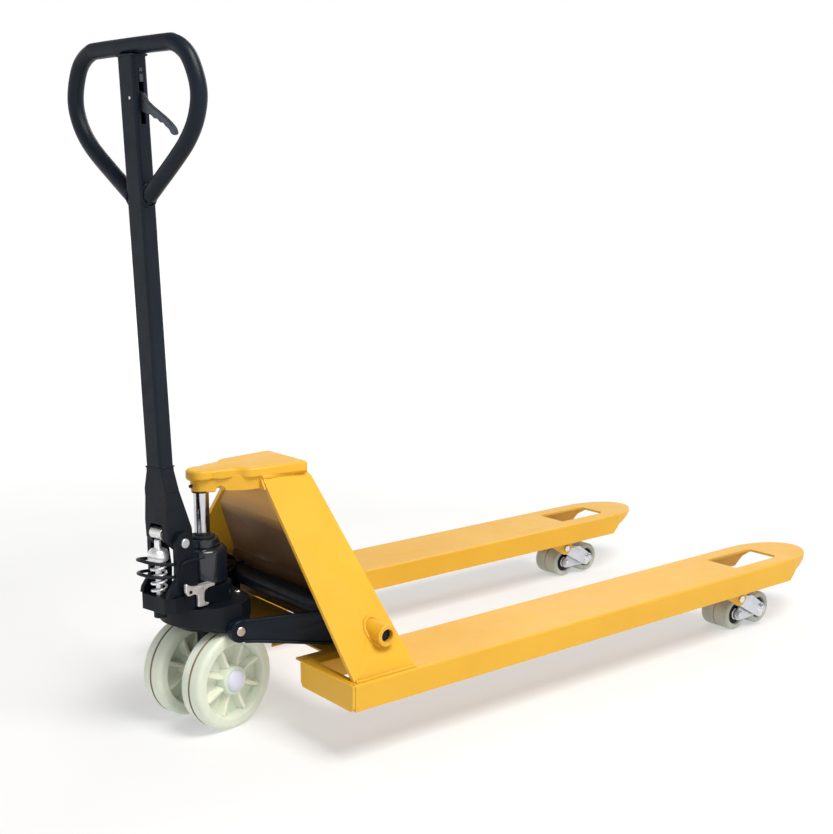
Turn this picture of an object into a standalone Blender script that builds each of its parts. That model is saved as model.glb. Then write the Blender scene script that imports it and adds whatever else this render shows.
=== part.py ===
import bpy
import bmesh
import math
from mathutils import Matrix, Vector

# ---- driving dimensions, metres -------------------------------------------
GROUND = 0.144            # height of the fork tops above the floor
SHIFT_X = -0.53995        # heel plane to the middle of the overall length
KING_X = -0.083           # steering axis behind the heel plane
STEER = math.radians(12)  # steering angle the unit is parked at
GAP = 0.0003

FORK_Y = 0.2638
FORK_HALF = 0.07865
FORK_H = 0.047
FORK_WALL = 0.005
NOSE_X = 1.189
NOSE_A = 0.131
TIP_X = NOSE_X + NOSE_A

LEAN = 0.9                # sideways lean of the side plates per metre of rise
SIDE_Y0 = 0.332
SIDE_T = 0.0108
TUBE = Vector((0.097, 0.0, 0.059))
TUBE_R = 0.020

EYE = Vector((-0.0665, 0.091, 0.0445))
ARM_FRONT_Y = 0.185
ROD_PIN_Z = -0.026
ROD_Y = 0.2495

LUG = Vector((1.053, FORK_Y, -0.0645))
BAR_Z = -0.0158
BOGIE = Vector((1.130, FORK_Y, -0.111))
ROLLER_X = (1.072, 1.150)
ROLLER_Z = -0.109
ROLLER_R = 0.035

WHEEL_R = 0.090
WHEEL_Y = 0.0525
WHEEL_HALF = 0.025
AXLE_Z = WHEEL_R - GROUND

PIVOT = Vector((-0.0755, 0.0, 0.2114))
CAM = Vector((-0.099, 0.0, 0.2285))
PLUNGER_X = -0.103
HANDLE_BASE = Vector((-0.091, 0.0, 0.35))
HANDLE_LEAN = -math.atan(0.035)

for ob in list(bpy.data.objects):
    bpy.data.objects.remove(ob, do_unlink=True)

scene = bpy.context.scene
main = bpy.data.collections.new("pallet_jack")
tools = bpy.data.collections.new("cutters")
scene.collection.children.link(main)
scene.collection.children.link(tools)

CH = Matrix.Translation((SHIFT_X, 0, GROUND))
ST = CH @ Matrix.Translation((KING_X, 0, 0)) @ Matrix.Rotation(STEER, 4, 'Z')
HA = ST @ Matrix.Translation(HANDLE_BASE) @ Matrix.Rotation(HANDLE_LEAN, 4, 'Y')
ORIGIN = Vector((0, 0, 0))

FINISH = {
    "paint":  ((0.93, 0.60, 0.14), 0.38, 0.0),
    "paint_dark": ((0.80, 0.48, 0.10), 0.45, 0.0),
    "black":  ((0.030, 0.040, 0.055), 0.35, 0.0),
    "chrome": ((0.80, 0.80, 0.82), 0.12, 1.0),
    "zinc":   ((0.62, 0.63, 0.66), 0.35, 1.0),
    "nylon":  ((0.86, 0.88, 0.78), 0.45, 0.0),
    "cap":    ((0.80, 0.81, 0.90), 0.35, 0.0),
}


def material(ob, key):
    col, rough, metal = FINISH[key]
    m = bpy.data.materials.new("mat_" + ob.name)
    m.use_nodes = True
    b = m.node_tree.nodes["Principled BSDF"]
    b.inputs["Base Color"].default_value = (*col, 1)
    b.inputs["Roughness"].default_value = rough
    b.inputs["Metallic"].default_value = metal
    ob.data.materials.clear()
    ob.data.materials.append(m)


def put(name, me, key, frame=CH, pivot=ORIGIN, smooth=None):
    """A sub-part whose origin is its pivot."""
    me.transform(Matrix.Translation(-pivot))
    ob = bpy.data.objects.new(name, me)
    me.name = name
    main.objects.link(ob)
    ob.matrix_world = frame @ Matrix.Translation(pivot)
    material(ob, key)
    if smooth:
        me.shade_smooth()
        me.set_sharp_from_angle(angle=math.radians(smooth))
    return ob


def tool(name, me, frame=CH):
    ob = bpy.data.objects.new(name, me)
    tools.objects.link(ob)
    ob.matrix_world = frame
    ob.hide_render = True
    ob.display_type = 'WIRE'
    return ob


def boo(ob, other, op='DIFFERENCE'):
    m = ob.modifiers.new("bool", 'BOOLEAN')
    m.operation = op
    m.solver = 'EXACT'
    m.object = other
    return m


def bevel(ob, width, angle=50, segments=1):
    m = ob.modifiers.new("bevel", 'BEVEL')
    m.width = width
    m.segments = segments
    m.limit_method = 'ANGLE'
    m.angle_limit = math.radians(angle)
    return m


def flat(loops, a, b, plane):
    """Closed outlines filled and extruded from a to b across their plane."""
    cu = bpy.data.curves.new("outline", 'CURVE')
    cu.dimensions = '2D'
    cu.fill_mode = 'BOTH'
    cu.extrude = abs(b - a) / 2
    for pts in loops:
        sp = cu.splines.new('POLY')
        sp.points.add(len(pts) - 1)
        for p, q in zip(sp.points, pts):
            p.co = (q[0], q[1], 0, 1)
        sp.use_cyclic_u = True
    ob = bpy.data.objects.new("outline", cu)
    scene.collection.objects.link(ob)
    dg = bpy.context.evaluated_depsgraph_get()
    me = bpy.data.meshes.new_from_object(ob.evaluated_get(dg))
    bpy.data.objects.remove(ob, do_unlink=True)
    bm = bmesh.new()
    bm.from_mesh(me)
    bmesh.ops.remove_doubles(bm, verts=bm.verts, dist=0.00002)
    bmesh.ops.dissolve_limit(bm, angle_limit=math.radians(0.5),
                             verts=bm.verts, edges=bm.edges)
    bmesh.ops.recalc_face_normals(bm, faces=bm.faces)
    bm.to_mesh(me)
    bm.free()
    mid = (a + b) / 2
    if plane == 'XY':
        me.transform(Matrix.Translation((0, 0, mid)))
    elif plane == 'XZ':
        me.transform(Matrix.Translation((0, mid, 0)) @ Matrix.Rotation(math.pi / 2, 4, 'X'))
    else:
        me.transform(Matrix.Translation((mid, 0, 0))
                     @ Matrix(((0, 0, 1, 0), (1, 0, 0, 0), (0, 1, 0, 0), (0, 0, 0, 1))))
    return me


def box(x0, x1, y0, y1, z0, z1):
    me = bpy.data.meshes.new("box")
    bm = bmesh.new()
    bmesh.ops.create_cube(bm, size=1.0)
    for v in bm.verts:
        v.co = Vector(((x0 + x1) / 2 + v.co.x * (x1 - x0),
                       (y0 + y1) / 2 + v.co.y * (y1 - y0),
                       (z0 + z1) / 2 + v.co.z * (z1 - z0)))
    bm.to_mesh(me)
    bm.free()
    return me


def rod(centre, r, a, b, axis='Y', seg=20, r2=None):
    """Round bar of radius r from a to b along an axis through centre."""
    me = bpy.data.meshes.new("rod")
    bm = bmesh.new()
    bmesh.ops.create_cone(bm, cap_ends=True, segments=seg, radius1=r,
                          radius2=r if r2 is None else r2, depth=b - a)
    bm.to_mesh(me)
    bm.free()
    mid = (a + b) / 2
    turn = {'Z': Matrix.Identity(4),
            'Y': Matrix.Rotation(-math.pi / 2, 4, 'X'),
            'X': Matrix.Rotation(math.pi / 2, 4, 'Y')}[axis]
    c = Vector(centre)
    c['XYZ'.index(axis)] = mid
    me.transform(Matrix.Translation(c) @ turn)
    return me


def arc(cx, cy, r, a0, a1, n):
    return [(cx + r * math.cos(math.radians(a0 + (a1 - a0) * i / n)),
             cy + r * math.sin(math.radians(a0 + (a1 - a0) * i / n))) for i in range(n + 1)]


def capsule(p, q, rp, rq, n=8):
    """Outline around two circles joined by their outer tangents."""
    dx, dy = q[0] - p[0], q[1] - p[1]
    d = math.hypot(dx, dy)
    a = math.degrees(math.atan2(dy, dx))
    t = math.degrees(math.acos(max(-1, min(1, (rp - rq) / d))))
    return arc(p[0], p[1], rp, a + t, a + 360 - t, n) + arc(q[0], q[1], rq, a - t, a + t, n)


def turned(name, profile, key, frame, pivot, seg=20, cyclic=False, axis='Z', smooth=40):
    """Solid of revolution: (radius, height) points down the outside."""
    me = bpy.data.meshes.new(name)
    n = len(profile)
    edges = [(i, i + 1) for i in range(n - 1)] + ([(n - 1, 0)] if cyclic else [])
    me.from_pydata([(r, 0, h) for r, h in profile], edges, [])
    turn = {'Z': Matrix.Identity(4), 'Y': Matrix.Rotation(-math.pi / 2, 4, 'X')}[axis]
    ob = bpy.data.objects.new(name, me)
    main.objects.link(ob)
    ob.matrix_world = frame @ Matrix.Translation(pivot) @ turn
    m = ob.modifiers.new("screw", 'SCREW')
    m.axis = 'Z'
    m.steps = seg
    m.render_steps = seg
    m.use_merge_vertices = True
    m.merge_threshold = 0.00005
    m.use_smooth_shade = True
    material(ob, key)
    return ob


def wire(points, r, res=2, cyclic=False):
    cu = bpy.data.curves.new("wire", 'CURVE')
    cu.dimensions = '3D'
    cu.bevel_depth = r
    cu.bevel_resolution = res
    cu.use_fill_caps = not cyclic
    sp = cu.splines.new('POLY')
    sp.points.add(len(points) - 1)
    for p, q in zip(sp.points, points):
        p.co = (*q, 1)
    sp.use_cyclic_u = cyclic
    ob = bpy.data.objects.new("wire", cu)
    scene.collection.objects.link(ob)
    dg = bpy.context.evaluated_depsgraph_get()
    me = bpy.data.meshes.new_from_object(ob.evaluated_get(dg))
    bpy.data.objects.remove(ob, do_unlink=True)
    bm = bmesh.new()
    bm.from_mesh(me)
    bmesh.ops.remove_doubles(bm, verts=bm.verts, dist=0.00002)
    bmesh.ops.recalc_face_normals(bm, faces=bm.faces)
    bm.to_mesh(me)
    bm.free()
    return me


def smooth_path(pts, n=3):
    """Catmull-Rom points through a control polygon."""
    out = []
    m = len(pts)
    for i in range(m - 1):
        p0, p1, p2, p3 = (Vector(pts[max(i - 1, 0)]), Vector(pts[i]),
                          Vector(pts[i + 1]), Vector(pts[min(i + 2, m - 1)]))
        for k in range(n):
            t = k / n
            out.append(0.5 * ((2 * p1) + (p2 - p0) * t + (2 * p0 - 5 * p1 + 4 * p2 - p3) * t * t
                              + (3 * p1 - p0 - 3 * p2 + p3) * t ** 3))
    out.append(Vector(pts[-1]))
    return out


SIDES = (("right", -1), ("left", 1))

# ---- forks ------------------------------------------------------------------


def fork_plan(yc, half, a, x0, n=14):
    pts = [(x0, yc - half)]
    pts += [(NOSE_X + a * math.cos(math.radians(t)), yc + half * math.sin(math.radians(t)))
            for t in (-90 + 180 * i / n for i in range(n + 1))]
    pts.append((x0, yc + half))
    return pts


for side, s in SIDES:
    yc = s * FORK_Y
    ob = put("fork_" + side, flat([fork_plan(yc, FORK_HALF, NOSE_A, -0.05)], -0.070, 0.0, 'XY'),
             "paint", smooth=30)
    bevel(ob, 0.0035, 60, 2)
    boo(ob, tool("skirt_" + side, flat([[(-0.10, 0.05), (0.0063, 0.05), (0.0063, -FORK_H),
                                         (1.204, -FORK_H), (1.226, -0.027), (1.281, -0.0085),
                                         (1.36, -0.0085), (1.36, -0.2), (-0.10, -0.2)]],
                                       yc - 0.12, yc + 0.12, 'XZ')))
    boo(ob, tool("channel_" + side, flat([fork_plan(yc, FORK_HALF - FORK_WALL,
                                                    NOSE_A - FORK_WALL, -0.08)],
                                         -0.30, -FORK_WALL, 'XY')))
    boo(ob, tool("wheel_window_" + side, flat([[(1.058, yc - 0.040), (1.192, yc - 0.040),
                                                (1.205, yc - 0.033), (1.205, yc + 0.033),
                                                (1.192, yc + 0.040), (1.058, yc + 0.040)]],
                                              -0.02, 0.02, 'XY')))
    boo(ob, tool("heel_window_" + side, box(0.020, 0.136, min(s * 0.216, s * 0.305),
                                            max(s * 0.216, s * 0.305), -0.02, 0.02)))
    for k, t in (("a", -1), ("b", 1)):
        lug = flat([[(0.985, -0.003), (0.985, -0.040), (1.045, -0.079), (1.0605, -0.079),
                     (1.072, -0.066), (1.075, -0.003)]],
                   yc + t * 0.0545, yc + t * 0.0600, 'XZ')
        boo(ob, tool("lug_%s_%s" % (side, k), lug), 'UNION')
        stub = rod((LUG.x, 0, LUG.z), 0.006, min(yc + t * 0.0486, yc + t * 0.0570),
                   max(yc + t * 0.0486, yc + t * 0.0570), 'Y', 12)
        boo(ob, tool("stub_%s_%s" % (side, k), stub), 'UNION')

    heel = put("heel_plate_" + side,
               flat([[(yc - FORK_HALF, 0.0), (yc - FORK_HALF, -0.040), (yc - FORK_HALF + 0.006, -FORK_H),
                      (yc + FORK_HALF - 0.006, -FORK_H), (yc + FORK_HALF, -0.040),
                      (yc + FORK_HALF, 0.0)]], 0.0, 0.0060, 'YZ'), "paint", smooth=30)
    bevel(heel, 0.0008, 50, 1)

# ---- A-frame ----------------------------------------------------------------


def shear(me, s):
    m = Matrix.Identity(4)
    m[1][2] = -s * LEAN
    me.transform(m)
    return me


for side, s in SIDES:
    y0, y1 = s * (SIDE_Y0 - SIDE_T), s * SIDE_Y0
    me = flat([[(0.012, 0.0003), (0.143, 0.0003), (0.1135, 0.297), (0.108, 0.307),
                (0.014, 0.307), (0.012, 0.300)]], min(y0, y1), max(y0, y1), 'XZ')
    ob = put("side_plate_" + side, shear(me, s), "paint", smooth=30)
    boo(ob, tool("boss_hole_" + side, rod(TUBE, 0.0193, min(s * 0.2, s * 0.34),
                                          max(s * 0.2, s * 0.34), 'Y', 24)))
    prof = [(0.012, 0.0), (0.0182, 0.0), (0.019, -0.0008), (0.019, -0.058), (0.012, -0.058)]
    if s < 0:
        prof = [(r, -0.058 - h) for r, h in reversed(prof)]
        base = -0.3125 + 0.058
    else:
        base = 0.3125
    turned("axle_boss_" + side, prof, "paint", CH, Vector((TUBE.x, base, TUBE.z)), 24, True, 'Y')

NB = 6
plan = ([(0.096, -0.0695)] + arc(0.097, -0.0605, 0.0085, -90, 0, 3)
        + arc(0.097, 0.0605, 0.0085, 0, 90, 3) + [(0.096, 0.0695), (-0.012, 0.0555), (-0.020, 0.050),
        (-0.026, 0.041), (-0.034, 0.036), (-0.060, 0.0325)]
        + arc(KING_X, 0.0, 0.0265, 70, 290, 8)
        + [(-0.060, -0.0325), (-0.034, -0.036), (-0.026, -0.041), (-0.020, -0.050), (-0.012, -0.0555)])
bridge = put("bridge_casting", flat([plan], 0.3078, 0.327, 'XY'), "paint", smooth=35)
bevel(bridge, 0.003, 50, 2)
web = flat([[(KING_X, -0.0178), (-0.045, -0.030), (-0.022, -0.046), (0.0110, -0.053), (0.0110, 0.053),
             (-0.022, 0.046), (-0.045, 0.030), (KING_X, 0.0178)]], 0.2850, 0.3160, 'XY')
boo(bridge, tool("bridge_web", web), 'UNION')
notch = flat([[(-0.0660, 0.280), (-0.0640, 0.291), (-0.0580, 0.2950), (-0.0510, 0.2920), (-0.0470, 0.2845),
               (-0.0460, 0.280)]], -0.07, 0.07, 'XZ')
boo(bridge, tool("bridge_notch", notch))
boo(bridge, tool("bridge_boss", rod((KING_X, 0, 0), 0.0180, 0.2865, 0.315, 'Z', 20)), 'UNION')
boo(bridge, tool("bridge_bore", rod((KING_X, 0, 0), 0.0143, 0.20, 0.3095, 'Z', 20)))
boo(bridge, tool("bridge_screw_hole", rod((0, 0, 0.297), 0.0033, -0.120, -0.080, 'X', 12)))
put("bridge_set_screw", rod((0, 0, 0.297), 0.0030, -0.1060, -0.0976, 'X', 12), "black", smooth=40)

turned("piston_rod", [(0.0, 0.309), (0.0125, 0.309), (0.014, 0.3075), (0.014, 0.1695),
                               (0.0125, 0.168), (0.0, 0.168)], "chrome",
                CH @ Matrix.Translation((KING_X, 0, 0)), ORIGIN, 24)

# front cover: folded sheet between the side plates
t = 0.0030
line = [(0.017, 0.3065), (0.017, 0.232), (0.119, 0.095), (0.136, 0.0325), (0.136, 0.0006)]
back = []
for i, p in enumerate(line):
    a = Vector(line[max(i - 1, 0)])
    b = Vector(line[min(i + 1, len(line) - 1)])
    p = Vector(p)
    d1 = (p - a).normalized() if i else (b - p).normalized()
    d2 = (b - p).normalized() if i < len(line) - 1 else d1
    n = Vector((-(d1 + d2).y, (d1 + d2).x)).normalized()
    k = 1 / max(0.5, n.dot(Vector((-d1.y, d1.x))))
    back.append((p.x + n.x * t * k, p.y + n.y * t * k))
back[0] = (back[0][0], 0.3065)
back[-1] = (back[-1][0], 0.0006)
cover = flat([line + back[::-1]], -0.33, 0.33, 'XZ')
cob = put("front_cover", cover, "paint_dark", smooth=30)
for side, s in SIDES:
    ya = s * (SIDE_Y0 - SIDE_T - 0.0004)
    me = shear(flat([[(-0.2, -0.1), (0.3, -0.1), (0.3, 0.4), (-0.2, 0.4)]],
                    min(ya, ya + s * 0.7), max(ya, ya + s * 0.7), 'XZ'), s)
    boo(cob, tool("cover_trim_" + side, me))

floor_plan = ([(0.004, -0.1846), (0.136, -0.1846), (0.136, 0.1846), (0.004, 0.1846),
               (0.004, 0.165), (0.060, 0.165), (0.060, 0.085), (0.004, 0.085)]
              + arc(KING_X, 0.0, 0.1205, 38, -38, 8)
              + [(0.004, -0.085), (0.060, -0.085), (0.060, -0.165), (0.004, -0.165)])
put("floor_plate", flat([floor_plan], -0.0042, -0.0002, 'XY'), "paint", smooth=30)

# ---- rocker -----------------------------------------------------------------
turned("torsion_tube", [(0.0, 0.290), (0.0112, 0.290), (0.0117, 0.2895), (0.0117, 0.247),
                        (TUBE_R, 0.247), (TUBE_R, -0.247), (0.0117, -0.247), (0.0117, -0.2895),
                        (0.0112, -0.290), (0.0, -0.290)], "black", CH, TUBE, 24, False, 'Y')

for side, s in SIDES:
    run = Vector((TUBE.x - EYE.x, ARM_FRONT_Y - EYE.y, 0.0))
    L = run.length
    ang = math.atan2(s * run.y, run.x)
    arm_frame = CH @ Matrix.Translation((EYE.x, s * EYE.y, EYE.z)) @ Matrix.Rotation(ang, 4, 'Z')
    out = (arc(0, 0, 0.0205, 110, 250, 8)
           + [(0.030, -0.0210), (L - 0.030, -0.0325), (L - 0.002, -0.0270),
              (L - 0.002, 0.033), (L - 0.030, 0.030), (0.030, 0.0205)])
    arm = put("rocker_arm_" + side, flat([out], -0.0055, 0.0055, 'XZ'), "black", arm_frame, smooth=30)
    arm.matrix_world = arm_frame
    # the eye boss stands square to the pin
    boo(arm, tool("eye_" + side, rod((EYE.x, 0, EYE.z), 0.0205, min(s * 0.085, s * 0.097),
                                     max(s * 0.085, s * 0.097), 'Y', 20)), 'UNION')
    boo(arm, tool("eye_trim_in_" + side, box(EYE.x - 0.03, EYE.x + 0.0212,
                                             min(s * 0.06, s * 0.0849), max(s * 0.06, s * 0.0849),
                                             0.0, 0.08)))
    boo(arm, tool("eye_bore_" + side, rod((EYE.x, 0, EYE.z), 0.0089, min(s * 0.05, s * 0.13),
                                          max(s * 0.05, s * 0.13), 'Y', 20)))
    boo(arm, tool("arm_tube_" + side, rod(TUBE, TUBE_R + GAP, min(s * 0.1, s * 0.3),
                                          max(s * 0.1, s * 0.3), 'Y', 24)))
    lev = flat([capsule((TUBE.x, TUBE.z), (TUBE.x, ROD_PIN_Z), 0.026, 0.013, 10)],
               min(s * 0.2315, s * 0.2415), max(s * 0.2315, s * 0.2415), 'XZ')
    ob = put("rocker_lever_" + side, lev, "black", CH, TUBE, smooth=35)
    boo(ob, tool("lever_tube_" + side, rod(TUBE, TUBE_R + GAP, min(s * 0.2, s * 0.3),
                                           max(s * 0.2, s * 0.3), 'Y', 24)))
    boo(ob, tool("lever_pin_" + side, rod((TUBE.x, 0, ROD_PIN_Z), 0.0060, min(s * 0.24, s * 0.2565),
                                          max(s * 0.24, s * 0.2565), 'Y', 12)), 'UNION')

    # push rod, hooked round the bracket's cross bar in front
    dz = BAR_Z - ROD_PIN_Z
    hook = [(LUG.x - 0.020, BAR_Z + 0.002), (LUG.x - 0.0075, BAR_Z + 0.002), (LUG.x - 0.0075, BAR_Z - 0.017),
            (LUG.x + 0.0075, BAR_Z - 0.017), (LUG.x + 0.0075, BAR_Z + 0.002), (LUG.x + 0.0125, BAR_Z + 0.002),
            (LUG.x + 0.0125, BAR_Z - 0.022), (LUG.x - 0.026, BAR_Z - 0.022), (LUG.x - 0.050, BAR_Z - 0.011)]
    rear = arc(TUBE.x, ROD_PIN_Z, 0.0115, 285, 75, 8)
    out = [(TUBE.x + 0.040, ROD_PIN_Z + 0.0065)] + [(LUG.x - 0.050, BAR_Z + 0.002)] + hook + \
          [(TUBE.x + 0.040, ROD_PIN_Z - 0.0065)] + rear
    ob = put("push_rod_" + side, flat([out], min(s * 0.2445, s * 0.2545), max(s * 0.2445, s * 0.2545), 'XZ'),
             "black", CH, Vector((TUBE.x, 0, ROD_PIN_Z)), smooth=30)
    boo(ob, tool("rod_bore_" + side, rod((TUBE.x, 0, ROD_PIN_Z), 0.0063, min(s * 0.24, s * 0.26),
                                         max(s * 0.24, s * 0.26), 'Y', 12)))

    # rocker pin through the eye into the thrust plate
    a, b = 0.0640, 0.1005
    prof = [(0.0, b), (0.0075, b), (0.0085, b - 0.001), (0.0085, a), (0.0, a)]
    if s < 0:
        prof = [(r, -h) for r, h in reversed(prof)]
    turned("rocker_pin_" + side, prof, "zinc", CH, Vector((EYE.x, 0, EYE.z)), 20, False, 'Y')

# ---- thrust plate -----------------------------------------------------------
TH = CH @ Matrix.Translation((KING_X, 0, 0))
top_plan = arc(0, 0, 0.0825, 90, 270, 16) + [(0.030, -0.0825), (0.062, -0.058), (0.072, -0.030),
                                             (0.072, 0.030), (0.062, 0.058), (0.030, 0.0825)]
thrust = put("thrust_plate", flat([top_plan], 0.0565, 0.0895, 'XY'), "black", TH, smooth=40)
low = rod((0, 0, 0), 0.052, 0.0385, 0.0570, 'Z', 32, 0.082)
boo(thrust, tool("thrust_cone", low, TH), 'UNION')
cheek = flat([[(-0.052, 0.060), (-0.030, 0.0385), (0.050, 0.0385), (0.062, 0.060)]], -0.0805, 0.0805, 'XZ')
boo(thrust, tool("thrust_cheeks", cheek, TH), 'UNION')
boo(thrust, tool("thrust_bore", rod((0, 0, 0), 0.0163, 0.02, 0.12, 'Z', 24), TH))
for side, s in SIDES:
    # the pin runs fore and aft in a slot as the rocker's eye swings on its arc
    ya, yb = min(s * 0.0630, s * 0.12), max(s * 0.0630, s * 0.12)
    xa, xb = EYE.x - KING_X - 0.0012, EYE.x - KING_X + 0.0062
    boo(thrust, tool("pin_slot_a_" + side, rod((xa, 0, EYE.z), 0.0091, ya, yb, 'Y', 20), TH))
    boo(thrust, tool("pin_slot_b_" + side, rod((xb, 0, EYE.z), 0.0091, ya, yb, 'Y', 20), TH))
    boo(thrust, tool("pin_slot_c_" + side, box(xa, xb, ya, yb, EYE.z - 0.0090, EYE.z + 0.0090), TH))
    sx, sy = 0.058, s * 0.020
    boo(thrust, tool("screw_hole_" + side, rod((sx, sy, 0), 0.0033, 0.0800, 0.10, 'Z', 12), TH))
    turned("thrust_screw_" + side, [(0.0, 0.0935), (0.0045, 0.0935), (0.0055, 0.0925), (0.0055, 0.0898),
                                    (0.0030, 0.0898), (0.0030, 0.0803), (0.0, 0.0803)],
           "zinc", TH @ Matrix.Translation((sx, sy, 0)), ORIGIN, 12)

# ---- pump and steering unit -------------------------------------------------
turned("pump_body", [(0.0150, 0.1187), (0.0150, 0.2008), (0.0275, 0.2008), (0.0285, 0.1995),
                     (0.0285, 0.1850), (0.0400, 0.1830), (0.0430, 0.1790), (0.0430, 0.1225), (0.0410, 0.1187)],
       "black", ST, ORIGIN, 24, True)
turned("gland_ring", [(0.0146, 0.2060), (0.0215, 0.2060), (0.0225, 0.2050), (0.0225, 0.2012), (0.0146, 0.2012)],
       "black", ST, ORIGIN, 20, True)

base_plan = ([(-0.118, -0.030), (-0.105, -0.045), (0.020, -0.045), (0.040, -0.030), (0.047, 0.0),
              (0.040, 0.030), (0.020, 0.045), (-0.105, 0.045), (-0.118, 0.030)])
base = put("pump_base", flat([base_plan], 0.0902, 0.1183, 'XY'), "black", ST, smooth=35)
for side, s in SIDES:
    ear = flat([[(-0.0945, 0.100), (-0.0500, 0.100), (-0.0480, 0.150), (-0.0560, 0.2114)]
                + arc(PIVOT.x, PIVOT.z, 0.0195, 15, 165, 8) + [(-0.0945, 0.205)]],
               min(s * 0.0300, s * 0.0395), max(s * 0.0300, s * 0.0395), 'XZ')
    boo(base, tool("ear_" + side, ear, ST), 'UNION')
    boo(base, tool("ear_hole_" + side, rod((PIVOT.x, 0, PIVOT.z), 0.0073, min(s * 0.02, s * 0.05),
                                           max(s * 0.02, s * 0.05), 'Y', 16), ST))
boo(base, tool("plunger_boss", rod((PLUNGER_X, 0, 0), 0.0115, 0.0775, 0.10, 'Z', 20), ST), 'UNION')
boo(base, tool("ram_well", rod((0, 0, 0), 0.0150, 0.1075, 0.13, 'Z', 24), ST))
boo(base, tool("plunger_bore", rod((PLUNGER_X, 0, 0), 0.0063, 0.0792, 0.15, 'Z', 16), ST))
boo(base, tool("king_stem", rod((0, 0, 0), 0.0160, -0.0400, 0.095, 'Z', 24), ST), 'UNION')
boo(base, tool("axle_block", box(-0.0185, 0.0185, -0.0240, 0.0240, -0.0740, -0.0320), ST), 'UNION')
boo(base, tool("axle_bore", rod((0, 0, AXLE_Z), 0.0103, -0.05, 0.05, 'Y', 20), ST))

turned("steer_axle", [(0.0, 0.0745), (0.0094, 0.0745), (0.010, 0.0739), (0.010, -0.0739), (0.0094, -0.0745),
                      (0.0, -0.0745)], "zinc", ST, Vector((0, 0, AXLE_Z)), 20, False, 'Y')
for side, s in SIDES:
    h = WHEEL_HALF
    prof = [(0.0103, 0.0240), (0.0200, 0.0240), (0.0215, 0.0060), (0.0640, 0.0060),
            (0.0700, h), (0.0835, h), (WHEEL_R, 0.0180), (WHEEL_R, -0.0180),
            (0.0835, -h), (0.0700, -h), (0.0640, -0.0060), (0.0215, -0.0060), (0.0200, -0.0240), (0.0103, -0.0240)]
    turned("steer_wheel_" + side, prof, "nylon", ST, Vector((0, s * WHEEL_Y, AXLE_Z)), 28, True, 'Y')
    prof = [(0.0, 0.0085), (0.0110, 0.0078), (0.0180, 0.0050), (0.0200, 0.0015), (0.0200, 0.0), (0.0, 0.0)]
    if s < 0:
        prof = [(r, -z) for r, z in reversed(prof)]
    turned("hub_cap_" + side, prof, "cap", ST, Vector((0, s * 0.0768, AXLE_Z)), 24, False, 'Y')

# guard wires round the plunger spring
for k, (name, z, lift) in enumerate((("guard_wire_upper", 0.1770, 0.006), ("guard_wire_lower", 0.1545, 0.004))):
    ctl = [(-0.0975, -0.0325, z), (-0.118, -0.030, z + lift * 0.4), (-0.134, -0.018, z + lift * 0.8),
           (-0.139, 0.0, z + lift), (-0.134, 0.018, z + lift * 0.8), (-0.118, 0.030, z + lift * 0.4),
           (-0.0975, 0.0325, z)]
    me = wire(smooth_path(ctl, 3), 0.0024, 1)
    put(name, me, "black", ST, smooth=60)

# ---- plunger ----------------------------------------------------------------
PL = Vector((PLUNGER_X, 0, 0.180))
turned("pump_plunger", [(0.0, 0.0372), (0.0050, 0.0372), (0.0060, 0.0362), (0.0060, 0.0225), (0.0110, 0.0215),
                        (0.0165, 0.0170), (0.0185, 0.0100), (0.0185, 0.0020), (0.0175, 0.0), (0.0060, 0.0),
                        (0.0060, -0.0625), (0.0, -0.0625)], "zinc", ST, PL, 20)
turns, wr, rr, per = 5, 0.0018, 0.0127, 10
h0, h1 = 0.1203, 0.1779
pts = []
for i in range(turns * per + 1):
    f = i / (turns * per)
    a = 2 * math.pi * i / per
    pts.append((PLUNGER_X + rr * math.cos(a), rr * math.sin(a), h0 + (h1 - h0) * f))
me = wire(pts, wr, 1)
put("plunger_spring", me, "zinc", ST, Vector((PLUNGER_X, 0, 0.1183)), smooth=60)

# ---- handle -----------------------------------------------------------------
yoke = flat([[(-0.0760, 0.345), (-0.0740, 0.304), (-0.0480, 0.232), (-0.0470, 0.218), (-0.0570, 0.203),
              (-0.0680, 0.1965), (-0.0830, 0.1965), (-0.0940, 0.206), (-0.1045, 0.2190), (-0.1060, 0.250),
              (-0.1035, 0.290), (-0.1058, 0.345)]], -0.0295, 0.0295, 'XZ')
yob = put("handle_yoke", yoke, "black", ST, PIVOT, smooth=35)
boo(yob, tool("yoke_width", flat([[(-0.0200, 0.36), (-0.0200, 0.338), (-0.0292, 0.305), (-0.0292, 0.15),
                                   (0.0292, 0.15), (0.0292, 0.305), (0.0200, 0.338), (0.0200, 0.36)]],
                                 -0.2, 0.0, 'YZ'), ST), 'INTERSECT')
boo(yob, tool("yoke_pocket", box(-0.20, -0.060, -0.0165, 0.0165, 0.15, 0.268), ST))
boo(yob, tool("yoke_front_slot", box(-0.070, -0.02, -0.0100, 0.0100, 0.15, 0.235), ST))
boo(yob, tool("yoke_rod_bore", rod((-0.0895, 0, 0), 0.0060, 0.25, 0.40, 'Z', 12), ST))
boo(yob, tool("yoke_pivot_bore", rod((PIVOT.x, 0, PIVOT.z), 0.0073, -0.06, 0.06, 'Y', 16), ST))
boo(yob, tool("yoke_cam_bore", rod((CAM.x, 0, CAM.z), 0.0048, -0.06, 0.06, 'Y', 12), ST))
turned("handle_pivot_pin", [(0.0, 0.0425), (0.0070, 0.0425), (0.0070, -0.0397), (0.0085, -0.0397),
                            (0.0085, -0.0425), (0.0075, -0.0435), (0.0, -0.0435)], "zinc", ST, PIVOT, 20, False, 'Y')
turned("cam_pin", [(0.0, 0.0288), (0.0045, 0.0288), (0.0045, -0.0288), (0.0, -0.0288)],
       "zinc", ST, CAM, 12, False, 'Y')
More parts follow.
